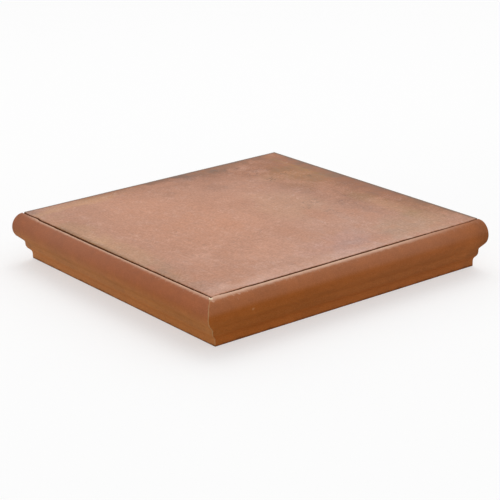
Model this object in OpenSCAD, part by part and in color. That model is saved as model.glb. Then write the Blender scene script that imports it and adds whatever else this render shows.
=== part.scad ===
// Corner stair tread of fired clay: a flat square tile seated in two moulded
// nosing strips, which run along its front and left sides and meet in a mitre.
// Origin: centre of the footprint, at the level of the nosing's foot.
// +Z is up, the front nosing faces -Y and the left nosing faces -X.

/* [Overall] */
// Side of the square footprint, from nose line to back edge
side = 330; // [240:1:500]
// Height from the foot of the nosing to the tread
height = 50; // [41:1:80]

/* [Tread tile] */
// Thickness of the tread tile
tile_t = 12; // [8:0.5:16]
// Rounding of the tile's top edges
tile_ease = 1.2; // [0.4:0.1:3]

/* [Joint] */
// Width of the open joint between the tile and each nosing
joint_gap = 2; // [0.8:0.1:4]
// Distance from the nose line in to the middle of the joint
joint_in = 13.4; // [11:0.1:18]
// Width of the nosing's ledge under the tile, from the tile's edge inwards
ledge_w = 21; // [15:0.5:40]

/* [Nosing moulding] */
// Radius of the half-round nose
nose_r = 13; // [10:0.1:17]
// Slope of the splay under the nose, in degrees from level
neck_splay = 40; // [25:1:60]
// Radius of the hollow where that splay meets the band
neck_hollow_r = 4; // [0.5:0.1:8]
// Distance from the nose line in to the band under the nose
band_in = 13.2; // [9:0.1:16]
// Height of the band's lower corner before it is rounded
band_low = 14; // [8:0.1:24]
// Rounding of the band's lower corner
band_ease = 8; // [0.5:0.1:10]
// Slope of the splay below the band, in degrees from level
foot_splay = 40; // [25:1:60]
// Radius of the hollow where that splay meets the plinth
foot_hollow_r = 6; // [0.5:0.1:8]
// Distance from the nose line in to the face of the plinth
plinth_in = 20.7; // [17:0.1:26]
// Rounding of the nosing's edges at the joint and at the foot
arris_ease = 0.8; // [0.2:0.1:1.2]

/* [Hidden] */

$fn = 96;
// How far a cutting body reaches past the face that it cuts
over = 5;
// Lowest and highest of X and of Y over the whole footprint
near = -side / 2;
far = side / 2;

// Faces on the two sides of the joint
upstand_in = joint_in - joint_gap / 2;
tile_in = joint_in + joint_gap / 2;
// The ledge carries the tile, and the nosing's back stands against the riser
ledge_z = height - tile_t;
nosing_back = tile_in + ledge_w;

// Centre of the half-round nose, and the point where the splay leaves it
nose_c = [nose_r, height - nose_r];
neck_start = nose_c - nose_r * [sin(neck_splay), cos(neck_splay)];
// Square corners: the neck, the band's lower one and the foot of its splay
neck = [band_in, neck_start[1] - (band_in - neck_start[0]) * tan(neck_splay)];
band = [band_in, band_low];
heel = [plinth_in, band_low - (plinth_in - band_in) * tan(foot_splay)];
// Each hollow is as large as the faces beside it leave room for
neck_room = neck[1] - band[1] - reach(foot_splay, band_ease);
neck_hollow = min(neck_hollow_r, neck_room / reach(neck_splay, 1));
heel_room = min(heel[1] - arris_ease, norm(heel - band) - reach(foot_splay, band_ease));
heel_hollow = min(foot_hollow_r, heel_room / reach(foot_splay, 1));
neck_arc = hollow_arc(neck, neck_splay, neck_hollow);
band_arc = ease_arc(band, foot_splay, band_ease);
heel_arc = hollow_arc(heel, foot_splay, heel_hollow);

// How far a rounding of radius r reaches from the corner between a splay and
// an upright face.
function reach(slope, r) = r * tan((90 - slope) / 2);

// First point, centre and last point of the hollow at p, where an upright face
// goes on down from the foot of a splay.
function hollow_arc(p, slope, r) = [
    p - reach(slope, r) * [cos(slope), -sin(slope)],
    p - [r, reach(slope, r)],
    p - [0, reach(slope, r)]
];

// First point, centre and last point of the rounding at p, where a splay goes
// on from the foot of an upright face.
function ease_arc(p, slope, r) = [
    p + [0, reach(slope, r)],
    p + [r, reach(slope, r)],
    p + reach(slope, r) * [cos(slope), -sin(slope)]
];

// What is cut from a square corner to leave a quarter round. The corner is at
// the origin, and the material lies towards +X and +Y.
module corner_cut(r) {
    difference() {
        translate([-over, -over]) square(r + over);
        translate([r, r]) circle(r);
    }
}

// Nose with the splay that runs in under it, down to the neck. Where the neck
// has no room for its hollow, the splay runs on to the back.
module nose_section() {
    run = nosing_back - neck_start[0];
    hollow = neck_hollow > 0;
    foot = hollow ? concat(neck_arc, [[nosing_back, neck_arc[2][1]]])
                  : [neck_start + run * [1, -tan(neck_splay)]];
    translate(nose_c) circle(nose_r);
    difference() {
        polygon(concat([nose_c, neck_start], foot, [[nosing_back, ledge_z], [nose_c[0], ledge_z]]));
        if (hollow) translate(neck_arc[1]) circle(neck_hollow);
    }
}

// Band, lower splay and plinth under the nose.
module foot_section() {
    top = neck_hollow > 0 ? neck_arc[2][1] : ledge_z;
    difference() {
        union() {
            polygon(concat([[band_in, top]], band_arc, heel_arc,
                [[plinth_in, 0], [nosing_back, 0], [nosing_back, top]]));
            translate(band_arc[1]) circle(band_ease);
        }
        translate(heel_arc[1]) circle(heel_hollow);
    }
}

// Cross-section of a nosing: X runs in from the nose line, and Y is height.
module nosing_section() {
    difference() {
        union() {
            nose_section();
            foot_section();
        }
        translate([0, -height]) square([nosing_back + over, height]);
        translate([upstand_in, ledge_z]) square([nosing_back, tile_t + over]);
        translate([upstand_in, height]) mirror([1, 0]) mirror([0, 1]) corner_cut(arris_ease);
        translate([plinth_in, 0]) corner_cut(arris_ease);
        translate([nosing_back, 0]) mirror([1, 0]) corner_cut(arris_ease);
    }
}

// Plan of the half of the footprint on the front side of the mitre.
module front_half() {
    polygon([[near - over, near - over], [far + over, near - over], [far + over, far + over]]);
}

// Nosing along the front side, mitred at its left end and square at its right.
module nosing_strip() {
    intersection() {
        translate([near, near, 0]) rotate([90, 0, 90]) linear_extrude(side) nosing_section();
        translate([0, 0, -over]) linear_extrude(height + 2 * over) front_half();
    }
}

// Cross-section of the tile, with its two top edges rounded.
module tile_section() {
    tile_w = side - tile_in;
    difference() {
        square([tile_w, tile_t]);
        translate([0, tile_t]) mirror([0, 1]) corner_cut(tile_ease);
        translate([tile_w, tile_t]) mirror([1, 0]) mirror([0, 1]) corner_cut(tile_ease);
    }
}

// Slab that runs along X with the tile's section.
module tile_slab() {
    translate([near + tile_in, near + tile_in, ledge_z])
        rotate([90, 0, 90])
            linear_extrude(side - tile_in) tile_section();
}

module tread_tile() {
    color("#BE9079") intersection() {
        tile_slab();
        mirror([1, -1, 0]) tile_slab();
    }
}

module nosing_front() {
    color("#94553A") nosing_strip();
}

module nosing_left() {
    color("#9C5D40") mirror([1, -1, 0]) nosing_strip();
}

tread_tile();
nosing_front();
nosing_left();
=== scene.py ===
"""Looks of a corner stair tread of fired clay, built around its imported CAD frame.

The tread is a flat square tile seated in two moulded nosing strips that meet in
a mitre. Each piece here stands for the CAD node of the same name, in metres and
in the same frame: +Z is up, the front nosing faces -Y and the left one -X.
"""

import logging
import math
from collections.abc import Sequence
from dataclasses import dataclass, replace
from enum import Enum

import bmesh
import bpy
import numpy as np
from mathutils import Matrix, Vector


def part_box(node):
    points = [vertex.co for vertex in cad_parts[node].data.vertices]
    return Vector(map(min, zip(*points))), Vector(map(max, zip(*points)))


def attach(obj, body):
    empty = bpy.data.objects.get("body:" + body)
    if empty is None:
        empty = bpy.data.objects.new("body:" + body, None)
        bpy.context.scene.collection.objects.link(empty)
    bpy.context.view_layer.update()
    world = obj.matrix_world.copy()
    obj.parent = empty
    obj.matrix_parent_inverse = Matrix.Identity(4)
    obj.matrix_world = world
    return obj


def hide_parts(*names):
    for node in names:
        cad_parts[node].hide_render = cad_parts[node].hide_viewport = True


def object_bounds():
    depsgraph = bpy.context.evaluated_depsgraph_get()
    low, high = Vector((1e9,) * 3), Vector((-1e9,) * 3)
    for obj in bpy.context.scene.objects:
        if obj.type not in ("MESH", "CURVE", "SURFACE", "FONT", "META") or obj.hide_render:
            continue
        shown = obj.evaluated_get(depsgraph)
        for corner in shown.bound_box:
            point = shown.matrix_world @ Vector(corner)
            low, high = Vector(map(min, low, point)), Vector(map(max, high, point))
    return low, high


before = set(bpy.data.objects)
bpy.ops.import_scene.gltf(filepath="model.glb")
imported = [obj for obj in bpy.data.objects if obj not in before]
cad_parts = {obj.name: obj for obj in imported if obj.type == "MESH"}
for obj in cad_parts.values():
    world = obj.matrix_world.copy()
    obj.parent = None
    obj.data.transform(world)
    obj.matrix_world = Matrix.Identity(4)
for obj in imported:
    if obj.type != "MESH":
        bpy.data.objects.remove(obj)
CAD_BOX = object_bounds()

LOG = logging.getLogger("corner_tread")
MM = 0.001
BODY = "root"
# The footprint's edges, the same in X and Y, and the height of the tread's face
NEAR, FAR, TOP = float(CAD_BOX[0][0]), float(CAD_BOX[1][0]), float(CAD_BOX[1][2])
JOINT_GAP = 2.0 * MM
MITRE_WANDER = 1.0 * MM

Node = bpy.types.Node
Socket = bpy.types.NodeSocket
Tree = bpy.types.NodeTree
Material = bpy.types.Material
Colour = tuple[float, float, float]
Point2 = tuple[float, float]
Point3 = tuple[float, float, float]

ORIGIN: Point3 = (0.0, 0.0, 0.0)
BLACK: Colour = (0.0, 0.0, 0.0)
WHITE: Colour = (1.0, 1.0, 1.0)


# ---------------------------------------------------------------------------
# Node trees
# ---------------------------------------------------------------------------


class Signal:
    """An output of a node, with which sums and products can be written."""

    def __init__(self, graph: "Graph", socket: Socket) -> None:
        """Keeps the output and the graph that it is in."""
        self.graph = graph
        self.socket = socket

    def __add__(self, other: object) -> "Signal":
        """Adds a number or a signal."""
        return self.graph.math("ADD", self, other)

    def __sub__(self, other: object) -> "Signal":
        """Takes a number or a signal away."""
        return self.graph.math("SUBTRACT", self, other)

    def __rsub__(self, other: object) -> "Signal":
        """Takes this signal away from a number."""
        return self.graph.math("SUBTRACT", other, self)

    def __mul__(self, other: object) -> "Signal":
        """Multiplies by a number or a signal."""
        return self.graph.math("MULTIPLY", self, other)

    def __abs__(self) -> "Signal":
        """Drops the sign."""
        return self.graph.math("ABSOLUTE", self)

    __radd__, __rmul__ = __add__, __mul__


class Graph:
    """Places and links the nodes of one shader or geometry tree."""

    def __init__(self, tree: Tree) -> None:
        """Keeps the tree that the methods add to."""
        self.tree = tree

    def feed(self, socket: Socket, value: object) -> None:
        """Links an input to a signal, or sets its own value.

        Args:
            socket: The input to fill.
            value: A signal, a number, a name, a vector or a colour.
        """
        if isinstance(value, Signal):
            self.tree.links.new(value.socket, socket)
        elif socket.type == "RGBA" and len(value) == 3:
            socket.default_value = (*value, 1.0)
        else:
            socket.default_value = value

    def node(self, kind: str, inputs: Sequence | dict = (), **settings: object) -> Node:
        """Adds one node.

        Args:
            kind: The node's type name.
            inputs: Its inputs, in order or by name or number.
            settings: Attributes to set on the node.

        Returns:
            The new node.
        """
        made = self.tree.nodes.new(kind)
        for name, value in settings.items():
            setattr(made, name, value)
        filled = inputs if isinstance(inputs, dict) else dict(enumerate(inputs))
        for key, value in filled.items():
            self.feed(made.inputs[key], value)
        return made

    def out(
        self, kind: str, inputs: Sequence | dict = (), pick: int | str = 0, **settings: object
    ) -> Signal:
        """Adds one node and takes one of its outputs.

        Args:
            kind: The node's type name.
            inputs: Its inputs, in order or by name or number.
            pick: Name or number of the output.
            settings: Attributes to set on the node.

        Returns:
            The output.
        """
        return Signal(self, self.node(kind, inputs, **settings).outputs[pick])

    def math(self, operation: str, *values: object) -> Signal:
        """Adds a Math node with numbers or signals as its inputs."""
        return self.out("ShaderNodeMath", values, operation=operation)

    def shift(self, base: object, mask: object, amount: object) -> object:
        """Adds a mask, times an amount, to a base.

        Args:
            base: What is shifted.
            mask: Where it is shifted.
            amount: How far it is shifted where the mask is 1.

        Returns:
            The shifted base, or the base itself where the amount is 0.
        """
        if isinstance(amount, float) and amount == 0:
            return base
        return self.math("MULTIPLY_ADD", mask, amount, base)

    def vector(self, operation: str, first: object, second: object = ORIGIN) -> Signal:
        """Adds a Vector Math node.

        Args:
            operation: Name of the operation, such as ADD.
            first: A vector.
            second: Another vector, or the number that SCALE multiplies by.

        Returns:
            The node's vector, or its number for LENGTH and DOT_PRODUCT.
        """
        inputs = {0: first, ("Scale" if operation == "SCALE" else 1): second}
        pick = "Value" if operation in ("LENGTH", "DOT_PRODUCT") else "Vector"
        return self.out("ShaderNodeVectorMath", inputs, pick, operation=operation)

    def split(self, vector: object) -> list[Signal]:
        """Separates a vector into its three components."""
        return [Signal(self, socket) for socket in self.node("ShaderNodeSeparateXYZ", (vector,)).outputs]

    def join(self, x: object, y: object, z: object) -> Signal:
        """Combines three numbers into a vector."""
        return self.out("ShaderNodeCombineXYZ", (x, y, z))

    def ramp(
        self,
        value: object,
        low: object,
        high: object,
        to_low: object = 0.0,
        to_high: object = 1.0,
        kind: str = "SMOOTHSTEP",
    ) -> Signal:
        """Maps a value from one range to another and holds it there.

        Args:
            value: The number to map.
            low: Start of the range that it comes from.
            high: End of the range that it comes from.
            to_low: Result at the start.
            to_high: Result at the end.
            kind: How the step between them runs.

        Returns:
            The mapped value.
        """
        inputs = (value, low, high, to_low, to_high)
        return self.out("ShaderNodeMapRange", inputs, interpolation_type=kind, clamp=True)

    def over(self, value: object, span: Point2, to_low: object = 0.0, to_high: object = 1.0) -> Signal:
        """Maps a distance over a span, as ramp does.

        Args:
            value: The distance, in metres.
            span: Start and end of the span, in millimetres.
            to_low: Result at the start.
            to_high: Result at the end.

        Returns:
            The mapped value.
        """
        return self.ramp(value, span[0] * MM, span[1] * MM, to_low, to_high)

    def noise(self, position: object, scale: object, detail: float = 3.0, rough: float = 0.5) -> Signal:
        """Adds a Noise Texture.

        Args:
            position: The place to read it at.
            scale: Waves per metre.
            detail: Number of finer layers.
            rough: Strength of each finer layer.

        Returns:
            The noise, about 0.5 on average.
        """
        inputs = {"Vector": position, "Scale": scale, "Detail": detail, "Roughness": rough}
        return self.out("ShaderNodeTexNoise", inputs, noise_dimensions="3D")

    def mix(self, share: object, first: object, second: object) -> Signal:
        """Mixes two colours by the share of the second."""
        inputs = {0: share, 6: first, 7: second}
        return self.out("ShaderNodeMix", inputs, 2, data_type="RGBA", clamp_factor=True)

    def blend(self, share: object, first: object, second: object) -> Signal:
        """Mixes two numbers by the share of the second."""
        inputs = {0: share, 2: first, 3: second}
        return self.out("ShaderNodeMix", inputs, data_type="FLOAT", clamp_factor=True)

    def object_place(self) -> Signal:
        """Reads the place on the object's own axes."""
        return self.out("ShaderNodeTexCoord", pick="Object")

    def stored(self, name: str) -> Signal:
        """Reads a number that the mesh carries."""
        return self.out("ShaderNodeAttribute", pick="Fac", attribute_name=name)

    def place(self, group: Tree, **values: object) -> dict[str, Signal]:
        """Places a shader node group with its own values.

        Args:
            group: The group to place.
            values: Its inputs by name, with underscores for spaces.

        Returns:
            The group's outputs by name.
        """
        inputs = {name.replace("_", " "): value for name, value in values.items()}
        made = self.node("ShaderNodeGroup", inputs, node_tree=group)
        return {socket.name: Signal(self, socket) for socket in made.outputs}

    def mask(self, group: Tree, **values: object) -> Signal:
        """Places a group, as place does, and returns its mask."""
        return self.place(group, **values)["Mask"]


def new_group(
    name: str,
    inputs: dict[str, object],
    outputs: tuple[str, ...],
    kind: str = "ShaderNodeTree",
    gives: str = "NodeSocketFloat",
) -> tuple[Graph, dict[str, Signal], Node]:
    """Starts a node group with named sockets.

    Args:
        name: The group's name.
        inputs: By name, each input's default, or its socket type where it has none.
        outputs: Names of the outputs.
        kind: ShaderNodeTree or GeometryNodeTree.
        gives: Socket type of the outputs.

    Returns:
        The group's graph, its inputs by name, and its output node.
    """
    types = {float: "NodeSocketFloat", int: "NodeSocketInt", tuple: "NodeSocketVector"}
    tree = bpy.data.node_groups.new(name, kind)
    for label, given in inputs.items():
        plain = not isinstance(given, str)
        socket_type = types[type(given)] if plain else given
        socket = tree.interface.new_socket(label, in_out="INPUT", socket_type=socket_type)
        if plain:
            socket.default_value = given
    for label in outputs:
        tree.interface.new_socket(label, in_out="OUTPUT", socket_type=gives)
    graph = Graph(tree)
    source = graph.node("NodeGroupInput")
    named = {socket.name: Signal(graph, socket) for socket in source.outputs if socket.name}
    return graph, named, graph.node("NodeGroupOutput")


# ---------------------------------------------------------------------------
# Effects shared by the finishes
# ---------------------------------------------------------------------------


class ClayEffects:
    """Shader node groups that more than one finish uses, each built once."""

    def __init__(self) -> None:
        """Builds every group."""
        self.grain = self._grain()
        self.drag_lines = self._drag_lines()
        self.soft_patch = self._soft_patch()
        self.specks = self._specks()
        self.worn_edge = self._worn_edge()
        self.scuffs = self._scuffs()

    def _grain(self) -> Tree:
        """Clouds, mottling and grain of a fired clay skin, each about 0.5 on average.

        Returns:
            The group.
        """
        inputs = {"Vector": ORIGIN, "Cloud Scale": 30.0, "Mottle Scale": 200.0, "Grain Scale": 1200.0}
        graph, given, sink = new_group("clay grain", inputs, ("Cloud", "Mottle", "Grain", "Height"))
        cloud = graph.noise(given["Vector"], given["Cloud Scale"], 3.0, 0.55)
        mottle = graph.noise(given["Vector"], given["Mottle Scale"], 3.0, 0.6)
        grain = graph.noise(given["Vector"], given["Grain Scale"], 2.0, 0.55)
        graph.feed(sink.inputs["Cloud"], graph.ramp(cloud, 0.3, 0.7))
        graph.feed(sink.inputs["Mottle"], graph.ramp(mottle, 0.3, 0.7))
        graph.feed(sink.inputs["Grain"], graph.ramp(grain, 0.25, 0.75))
        graph.feed(sink.inputs["Height"], mottle * 0.6 + grain * 0.4)
        return graph.tree

    def _drag_lines(self) -> Tree:
        """Long faint lines that the die drags along an extruded face.

        Returns:
            The group.
        """
        inputs = {"Across": 0.0, "Along": 0.0, "Lines": 260.0, "Stretch": 30.0, "Seed": 0.0}
        graph, given, sink = new_group("drag lines", inputs, ("Mask",))
        wander = graph.noise(graph.join(given["Along"], 0.0, given["Seed"]), 9.0, 1.0)
        shifted = graph.shift(given["Across"], wander, 2.0 * MM)
        along = graph.math("DIVIDE", given["Along"], given["Stretch"])
        lines = graph.noise(graph.join(shifted, along, given["Seed"]), given["Lines"], 2.0)
        graph.feed(sink.inputs["Mask"], graph.ramp(lines, 0.3, 0.7))
        return graph.tree

    def _soft_patch(self) -> Tree:
        """One cloud-edged oval patch, such as a flash mark from the kiln or a chip.

        Returns:
            The group.
        """
        inputs = {"Vector": ORIGIN, "Centre": ORIGIN, "Reach": (0.05, 0.05, 0.05)}
        inputs |= {"Cloud": 0.5, "Ragged": 0.3, "Core": 0.35}
        graph, given, sink = new_group("soft patch", inputs, ("Mask",))
        offset = graph.vector("SUBTRACT", given["Vector"], given["Centre"])
        span = graph.vector("LENGTH", graph.vector("DIVIDE", offset, given["Reach"]))
        radius = graph.shift(span, given["Cloud"] - 0.5, given["Ragged"])
        graph.feed(sink.inputs["Mask"], graph.ramp(radius, 1.0, given["Core"]))
        return graph.tree

    def _specks(self) -> Tree:
        """Scattered small specks and pits of uneven size.

        Returns:
            The group.
        """
        inputs = {"Vector": ORIGIN, "Cells": 120.0, "Size": 0.12, "Share": 0.2}
        graph, given, sink = new_group("specks", inputs, ("Mask",))
        scatter = {"Vector": given["Vector"], "Scale": given["Cells"]}
        cells = graph.node("ShaderNodeTexVoronoi", scatter, feature="F1")
        chance, size, _ = graph.split(Signal(graph, cells.outputs["Color"]))
        near = graph.ramp(Signal(graph, cells.outputs["Distance"]), given["Size"] * (size + 0.5), 0.0)
        graph.feed(sink.inputs["Mask"], near * graph.math("LESS_THAN", chance, given["Share"]))
        return graph.tree

    def _worn_edge(self) -> Tree:
        """Ragged line along an edge, for worn clay, mortar, a painted highlight, painted shade and a
        painted shadow.

        Returns:
            The group.
        """
        inputs = {"Vector": ORIGIN, "Distance": 1.0, "Width": 1.0 * MM}
        inputs |= {"Break Scale": 300.0, "Least": 0.2, "Core": 0.0}
        graph, given, sink = new_group("ragged edge line", inputs, ("Mask",))
        breaks = graph.noise(given["Vector"], given["Break Scale"], 4.0, 0.65)
        reach = given["Width"] * graph.ramp(breaks, 0.35, 0.7, given["Least"], 1.6)
        graph.feed(sink.inputs["Mask"], graph.ramp(given["Distance"], reach, reach * given["Core"]))
        return graph.tree

    def _scuffs(self) -> Tree:
        """Small soft dabs of wear that join up at an edge and thin out away from it.

        Returns:
            The group.
        """
        inputs = {"Vector": ORIGIN, "Distance": 1.0, "Width": 10.0 * MM, "Scale": 400.0}
        graph, given, sink = new_group("scuffs", inputs, ("Mask",))
        near = graph.ramp(given["Distance"], given["Width"], given["Width"] * 0.2)
        least = graph.shift(0.66, near, -0.2)
        spots = graph.ramp(graph.noise(given["Vector"], given["Scale"], 3.0, 0.6), least, least + 0.2)
        graph.feed(sink.inputs["Mask"], spots * near)
        return graph.tree


# ---------------------------------------------------------------------------
# Finishes
# ---------------------------------------------------------------------------


class Run(Enum):
    """Direction in which a piece was extruded."""

    ALONG_X = "x"
    ALONG_Y = "y"


@dataclass(frozen=True)
class Swing:
    """How far each layer of a clay skin's pattern moves a value, from its 0 to its 1.

    Attributes:
        cloud: Swing with the large clouds.
        mottle: Swing with the mottling.
        grain: Swing with the grain.
        streak: Swing with the drag lines.
    """

    cloud: float = 0.0
    mottle: float = 0.0
    grain: float = 0.0
    streak: float = 0.0

    def add_to(self, base: object, layers: dict[str, Signal]) -> Signal:
        """Adds the swings to a base.

        Args:
            base: What they are added to.
            layers: The layers by name, each about 0.5 on average.

        Returns:
            The base with the swings.
        """
        for name, amount in vars(self).items():
            if amount:
                layer = layers[name.title()]
                base = layer.graph.shift(base, layer - 0.5, amount)
        return base


@dataclass(frozen=True)
class FlashAndReflectionPatch:
    """A patch of the tread that the fire left darker or lighter, with more or less painted reflection over
    it.

    Attributes:
        centre: Its centre in X and Y, in millimetres.
        reach: Its half width and half height, in millimetres.
        tone: Change of the clay's strength there, as a share of it.
        haze: Change of the painted reflection there, as linear light.
        olive: Cast from pink towards olive there, as linear light.
        craze: How dark the fine crazing there is, as a share of the clay's strength.
        ragged: How far the clouds shape its edge.
        core: Share of its reach that is even.
    """

    centre: Point2
    reach: Point2
    tone: float = 0.0
    haze: float = 0.0
    olive: float = 0.0
    craze: float = 0.0
    ragged: float = 0.6
    core: float = 0.2


@dataclass(frozen=True)
class DragMark:
    """A long thin mark that a grain of grit left as the clay was drawn out.

    Attributes:
        x: Its place in X, in millimetres.
        start: Where it starts in Y.
        end: Where it ends in Y.
        width: Its width.
        wander: How far it strays from side to side.
        tone: Change of the clay's strength in it, as a share.
    """

    x: float
    start: float
    end: float
    width: float = 1.6
    wander: float = 1.2
    tone: float = -0.12


@dataclass(frozen=True)
class Chip:
    """A small broken or worn spot where the bare clay shows.

    Attributes:
        place: Its centre, in millimetres.
        size: Its radius.
        share: How bare it is, 0 to 1.
        tint: Its colour, in linear light.
        ragged: How far the grain shapes its edge.
        core: Share of its radius that is even.
    """

    place: Point3
    size: float
    share: float = 1.0
    tint: Colour = (0.60, 0.32, 0.16)
    ragged: float = 0.8
    core: float = 0.5


@dataclass(frozen=True)
class EdgeLine:
    """A ragged line along an edge, such as worn clay, mortar, painted shade or a painted highlight.

    Attributes:
        tint: Its colour, in linear light.
        width: Its width, in millimetres.
        share: How strong it is, 0 to 1.
        breaks: How fine its unevenness is, in waves per metre.
        least: Least share of its width that it has.
        core: Share of its width that is even.
    """

    tint: Colour
    width: float
    share: float = 1.0
    breaks: float = 120.0
    least: float = 0.6
    core: float = 0.0

    def mask(self, effects: ClayEffects, place: Signal, distance: Signal) -> Signal:
        """Draws the line at full strength.

        Args:
            effects: The shared shader groups.
            place: Where the surface is read.
            distance: Distance from the edge.

        Returns:
            Its mask.
        """
        return place.graph.mask(
            effects.worn_edge,
            Vector=place,
            Distance=distance,
            Width=self.width * MM,
            Break_Scale=self.breaks,
            Least=self.least,
            Core=self.core,
        )


@dataclass(frozen=True)
class PaintedShading:
    """A band along the moulding with painted shade where the clay's colour is weaker and painted light
    where it is stronger, evening out the moulding's own shading.

    Attributes:
        at: Where round from the joint it is strongest, in millimetres.
        reach: How far it fades out to both sides.
        change: Change of the clay's strength there, as a share.
    """

    at: float
    reach: float
    change: float


# The arris line of worn clay and painted highlight that both nosings have, the painted shade on their band
# and the painted light on their lower splay
ARRIS_WEAR_AND_HIGHLIGHT = EdgeLine((0.74, 0.49, 0.36), 4.5, share=0.85, breaks=160.0, least=1.3, core=0.25)
BAND_PAINTED_SHADE = PaintedShading(46.0, 5.0, -0.045)
SPLAY_PAINTED_LIGHT = PaintedShading(54.5, 5.0, 0.06)


def new_surface(name: str, specular: float) -> tuple[Graph, Node, Material]:
    """Starts a material with a Principled BSDF.

    Args:
        name: The material's name.
        specular: The shader's specular level, the same all over.

    Returns:
        The material's graph, its shader and the material.
    """
    material = bpy.data.materials.new(name)
    material.use_nodes = True
    shader = material.node_tree.nodes["Principled BSDF"]
    shader.inputs["Specular IOR Level"].default_value = specular
    return Graph(material.node_tree), shader, material


def raise_bump(graph: Graph, shader: Node, height: object, depth: float) -> None:
    """Feeds a height into the shader's normal.

    Args:
        graph: The material's graph.
        shader: The shader to link to.
        height: Height from 0 to 1.
        depth: Depth in metres that the full height stands for.
    """
    inputs = {"Strength": 1.0, "Distance": depth, "Height": height}
    graph.feed(shader.inputs["Normal"], graph.out("ShaderNodeBump", inputs))


@dataclass(frozen=True)
class TreadSkin:
    """Satin skin of the tile's face, flashed by the fire and drawn along Y, with painted reflection and
    painted joint shade in its colour.

    Attributes:
        clay: Colour of the clay, in linear light.
        bare: Colour of the clay where it is worn bare.
        speck_share: How strong its specks are, 0 to 1.
        soil: Painted shade on its joint edges, darkening them like the depth of the joint.
        rim: Colour of the darker line along its back edges.
        rim_share: How strong that line is, 0 to 1.
        rim_reach: Where it ends and where it is full, in millimetres from the edges.
        haze: Painted reflection all over, as a pale addition in linear light.
        specular: The shader's specular level.
        gloss: Mean roughness.
        relief: Depth of its bump, in millimetres.
        tone_swing: Swing of the clay's strength with the pattern.
        haze_swing: Swing of the painted reflection.
        gloss_swing: Swing of the roughness.
        pale_craze: Film in the fine crazing all over, as linear light.
        patches: Flash marks, with the painted reflection over them.
        marks: Drag marks.
    """

    clay: Colour = (0.375, 0.121, 0.0315)
    bare: Colour = (0.50, 0.28, 0.18)
    speck_share: float = 0.35
    soil: EdgeLine = EdgeLine((0.13, 0.042, 0.008), 0.6)
    rim: Colour = (0.14, 0.070, 0.03)
    rim_share: float = 0.9
    rim_reach: Point2 = (3.8, 1.4)
    haze: float = 0.08
    specular: float = 0.2
    gloss: float = 0.38
    relief: float = 0.05
    tone_swing: Swing = Swing(cloud=0.10, mottle=0.08, grain=0.05, streak=0.04)
    haze_swing: Swing = Swing(mottle=0.04, grain=0.075)
    gloss_swing: Swing = Swing(cloud=0.06, mottle=0.08)
    pale_craze: float = 0.05
    patches: tuple[FlashAndReflectionPatch, ...] = ()
    marks: tuple[DragMark, ...] = ()

    def build(self, effects: ClayEffects) -> Material:
        """Makes the material.

        Args:
            effects: The shared shader groups.

        Returns:
            The finished material.
        """
        graph, shader, material = new_surface("tread skin", self.specular)
        place = graph.object_place()
        across, along, _ = graph.split(place)
        layers = graph.place(effects.grain, Vector=place, Grain_Scale=520.0)
        drag = {"Across": across, "Along": along}
        streak = graph.mask(effects.drag_lines, **drag, Lines=160.0, Stretch=25.0)
        brushed = graph.mask(effects.drag_lines, **drag, Lines=380.0, Stretch=6.0, Seed=2.0)
        scratch = graph.mask(effects.drag_lines, **drag, Lines=330.0, Stretch=7.0, Seed=4.0)
        layers["Streak"] = streak
        # Where the face was worked more, its fine lines are stronger
        worked = graph.ramp(graph.noise(graph.vector("ADD", place, (0.3, 0.0, 0.0)), 14.0, 2.0), 0.42, 0.62)

        tone = self.tone_swing.add_to(1.0, layers)
        tone = graph.shift(tone, brushed - 0.5, worked * 0.05 + 0.03)
        # Painted reflection, added as a pale veil, with pale scratches and crazing in it
        haze = self.haze_swing.add_to(self.haze, layers)
        haze = graph.shift(haze, graph.ramp(scratch, 0.80, 1.0), worked * 0.025 + 0.005)
        haze = graph.shift(haze, self._crazing(place, 0.7), self.pale_craze)
        olive, craze = 0.0, 0.0
        # Each patch changes the clay's strength and the painted reflection
        for patch in self.patches:
            mask = graph.mask(
                effects.soft_patch,
                Vector=place,
                Centre=(patch.centre[0] * MM, patch.centre[1] * MM, TOP),
                Reach=(patch.reach[0] * MM, patch.reach[1] * MM, 1.0),
                Cloud=layers["Cloud"],
                Ragged=patch.ragged,
                Core=patch.core,
            )
            tone = graph.shift(tone, mask, patch.tone)
            haze = graph.shift(haze, mask, patch.haze)
            olive = graph.shift(olive, mask, patch.olive)
            craze = graph.shift(craze, mask, patch.craze)
        cracks = self._crazing(place, 0.2) * craze
        tone = tone - cracks
        haze = graph.shift(haze, cracks, -0.10)
        for mark in self.marks:
            tone = graph.shift(tone, self._mark(across, along, mark), mark.tone)
        haze = graph.math("MAXIMUM", haze, 0.0)
        # The painted reflection and the olive cast are added to the clay's colour
        film = graph.join(haze, haze + olive, graph.shift(haze, olive, -0.5))
        colour = graph.vector("ADD", graph.vector("SCALE", self.clay, tone), film)
        colour = graph.vector("MAXIMUM", colour, ORIGIN)

        specks = graph.mask(effects.specks, Vector=place, Cells=140.0, Size=0.1, Share=0.08)
        colour = graph.mix(specks * self.speck_share, colour, self.bare)
        # Painted shade on the edges beside the joints
        joint_shaded = self.soil.mask(effects, place, graph.stored("to_joint"))
        to_back = FAR - graph.math("MAXIMUM", across, along)
        colour = graph.mix(graph.over(to_back, self.rim_reach, 0.0, self.rim_share), colour, self.rim)
        graph.feed(shader.inputs["Base Color"], graph.mix(joint_shaded, colour, self.soil.tint))
        rough = self.gloss_swing.add_to(self.gloss, layers)
        graph.feed(shader.inputs["Roughness"], graph.math("MAXIMUM", rough, joint_shaded))
        height = graph.shift(graph.shift(layers["Height"], streak, 0.3), specks, -0.5)
        raise_bump(graph, shader, height, self.relief * MM)
        return material

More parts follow.
